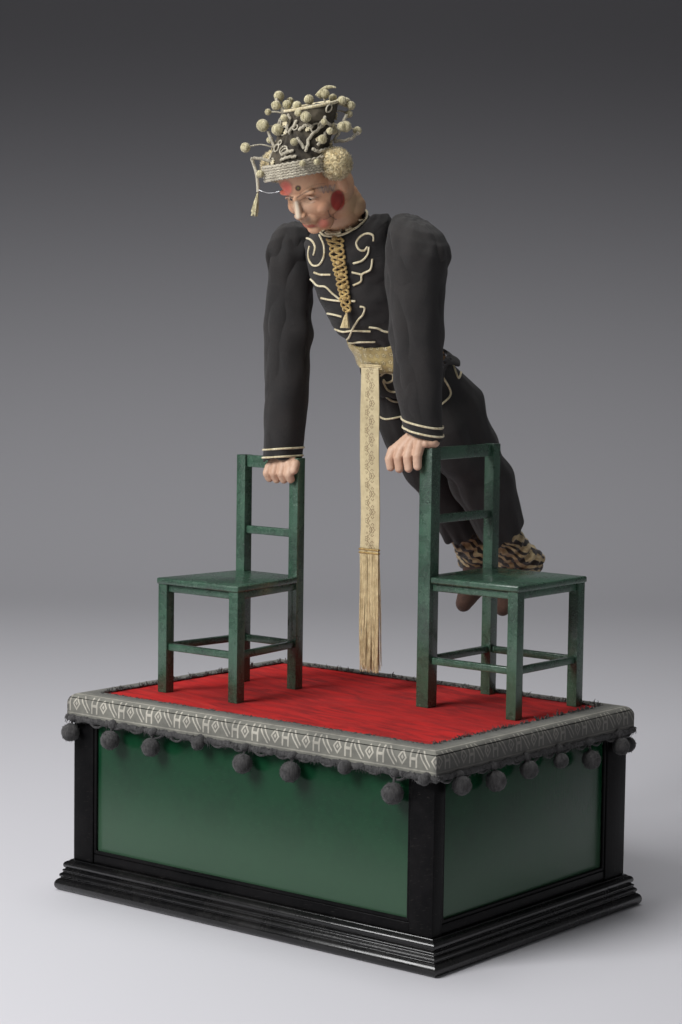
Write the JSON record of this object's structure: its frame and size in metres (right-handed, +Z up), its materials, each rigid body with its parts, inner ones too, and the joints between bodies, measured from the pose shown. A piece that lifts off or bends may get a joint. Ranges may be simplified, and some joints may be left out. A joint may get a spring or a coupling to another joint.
{
  "type": "somersaulting automaton",
  "caption": "Clockwork acrobat in black costume who swings into a handstand between two green chairs on a carpeted cabinet.",
  "frame": {"origin": "middle of the cabinet's underside, on the surface it stands on", "axes": "+Z up, +X along the cabinet's long front towards the right chair, -Y out of the long front"},
  "size_m": [0.4723, 0.4695, 0.7523],
  "materials": {
    "ebonised_wood": "black polish with worn edges",
    "green_panel": "glossy dark green paint",
    "bare_wood": "plain sawn wood",
    "red_velvet": "worn velvet",
    "galloon": "woven silver braid gone dark",
    "black_fringe": "wool balls",
    "green_paint": "gloss paint with wear",
    "black_cotton": "woven cotton with cream braid",
    "flesh_paint": "painted composition",
    "gold_brocade": "brocade",
    "silk_fringe": "silk threads",
    "hat_cloth": "dark cap with silver braid",
    "cream_wool": "wool pompoms on wire",
    "tiger_cloth": "printed stripes",
    "slipper_cloth": "dark brown cloth",
    "brass": "turned and filed",
    "steel": "filed and oiled"
  },
  "bodies": {
    "root": {"plinth": "ebonised_wood", "floor_board": "bare_wood", "cabinet_frame": "ebonised_wood", "front_panel": "green_panel", "back_panel": "green_panel", "side_panels": "green_panel", "top_board": "ebonised_wood", "carpet": "red_velvet", "trim_band": "galloon", "pompom_fringe": "black_fringe", "left_chair_seat": "green_paint", "left_chair_legs": "green_paint", "left_chair_rails": "green_paint", "right_chair_seat": "green_paint", "right_chair_legs": "green_paint", "drive_post": "green_paint", "right_chair_rails": "green_paint", "drive_column": "steel", "shoulder_bracket": "brass", "carrying_hand": "flesh_paint", "carrying_sleeve": "black_cotton", "motor_plates": "brass", "motor_pillars": "brass", "music_bedplate": "brass", "music_comb": "steel"},
    "trunk": {"trunk_tube": "steel", "body_pinion": "brass", "trunk_block": "bare_wood", "jacket": "black_cotton", "belt": "gold_brocade"},
    "head": {"head": "flesh_paint", "hat": "hat_cloth", "hat_sprays": "cream_wool", "ear_pompoms": "cream_wool"},
    "sash": {"sash": "gold_brocade", "sash_tassels": "silk_fringe"},
    "legs": {"leg_core": "bare_wood", "trousers": "black_cotton", "leggings": "tiger_cloth", "slippers": "slipper_cloth"},
    "free_arm": {"arm_shaft": "steel", "arm_pinion": "brass", "free_arm_core": "bare_wood", "free_sleeve": "black_cotton", "free_hand": "flesh_paint"},
    "barrel": {"barrel": "brass", "mainspring": "steel"},
    "winder": {"winding_arbor": "steel", "winding_key": "brass"},
    "click": {"click": "steel"},
    "camshaft": {"camshaft": "brass", "cams": "brass"},
    "second_arbor": {"second_arbor": "brass"},
    "fly": {"fly": "brass"},
    "music_cylinder": {"music_cylinder": "brass"},
    "body_lever": {"body_lever": "steel"},
    "arm_lever": {"arm_lever": "steel"},
    "body_rod": {"body_rod": "steel"},
    "arm_rod": {"arm_rod": "steel"},
    "stop_rod": {"stop_rod": "steel"}
  },
  "joints": [
    {"name": "body_swing", "type": "hinge", "parent": "root", "child": "trunk", "pos_m": [-0.0195, 0.0184, 0.603], "axis": [1, 0, 0], "range_deg": [0, 145]},
    {"name": "arm_raise", "type": "hinge", "parent": "root", "child": "free_arm", "pos_m": [-0.0955, 0.0184, 0.603], "axis": [-1, 0, 0], "range_deg": [0, 80]},
    {"name": "head_nod", "type": "hinge", "parent": "trunk", "child": "head", "pos_m": [-0.0195, 0.00481, 0.63021], "axis": [1, 0, 0], "range_deg": [-15, 17]},
    {"name": "leg_swing", "type": "hinge", "parent": "trunk", "child": "legs", "pos_m": [-0.0195, 0.10753, 0.49223], "axis": [-1, 0, 0], "range_deg": [-10, 20]},
    {"name": "sash_hang", "type": "hinge", "parent": "trunk", "child": "sash", "pos_m": [-0.023, 0.05567, 0.49164], "axis": [1, 0, 0], "range_deg": [-124, 0]},
    {"name": "body_rod_slide", "type": "slide", "parent": "root", "child": "body_rod", "axis": [0, 0, 1], "range_m": [0, 0.0143]},
    {"name": "body_lever_rock", "type": "hinge", "parent": "root", "child": "body_lever", "pos_m": [0.0685, -0.016, 0.09166], "axis": [1, 0, 0], "range_deg": [0, 20.5]},
    {"name": "arm_rod_slide", "type": "slide", "parent": "root", "child": "arm_rod", "axis": [0, 0, 1], "range_m": [-0.0079, 0]},
    {"name": "arm_lever_rock", "type": "hinge", "parent": "root", "child": "arm_lever", "pos_m": [0.0735, -0.088, 0.1013], "axis": [1, 0, 0], "range_deg": [-4.1, 0]},
    {"name": "barrel_turn", "type": "hinge", "parent": "root", "child": "barrel", "pos_m": [0.025, 0.004, 0.066], "axis": [1, 0, 0], "continuous": true},
    {"name": "camshaft_turn", "type": "hinge", "parent": "root", "child": "camshaft", "pos_m": [0.04, -0.048, 0.066], "axis": [1, 0, 0], "continuous": true},
    {"name": "second_turn", "type": "hinge", "parent": "root", "child": "second_arbor", "pos_m": [0.03, -0.06963, 0.08114], "axis": [1, 0, 0], "continuous": true},
    {"name": "fly_turn", "type": "hinge", "parent": "root", "child": "fly", "pos_m": [0.02, -0.06142, 0.10369], "axis": [1, 0, 0], "continuous": true},
    {"name": "music_turn", "type": "hinge", "parent": "root", "child": "music_cylinder", "pos_m": [-0.06, -0.072, 0.066], "axis": [1, 0, 0], "continuous": true},
    {"name": "key_wind", "type": "hinge", "parent": "root", "child": "winder", "pos_m": [-0.1, 0.004, 0.066], "axis": [1, 0, 0], "continuous": true},
    {"name": "click_lift", "type": "hinge", "parent": "root", "child": "click", "pos_m": [0.0017, -0.012, 0.083], "axis": [1, 0, 0], "range_deg": [0, 10], "stiffness_Nm_per_rad": 0.002, "springref_deg": -5.73},
    {"name": "stop_push", "type": "slide", "parent": "root", "child": "stop_rod", "axis": [1, 0, 0], "range_m": [0, 0.008]}
  ],
  "couplings": [
    {"joint": "sash_hang", "follows": "body_swing", "ratio": -0.85},
    {"joint": "body_rod_slide", "follows": "body_swing", "m_per_rad": 0.0056},
    {"joint": "body_lever_rock", "follows": "body_swing", "ratio": 0.14},
    {"joint": "arm_rod_slide", "follows": "arm_raise", "m_per_rad": -0.0056},
    {"joint": "arm_lever_rock", "follows": "arm_raise", "ratio": -0.05},
    {"joint": "camshaft_turn", "follows": "barrel_turn", "ratio": -2.25},
    {"joint": "second_turn", "follows": "barrel_turn", "ratio": 12.6},
    {"joint": "fly_turn", "follows": "barrel_turn", "ratio": -63},
    {"joint": "music_turn", "follows": "barrel_turn", "ratio": 1.125}
  ]
}
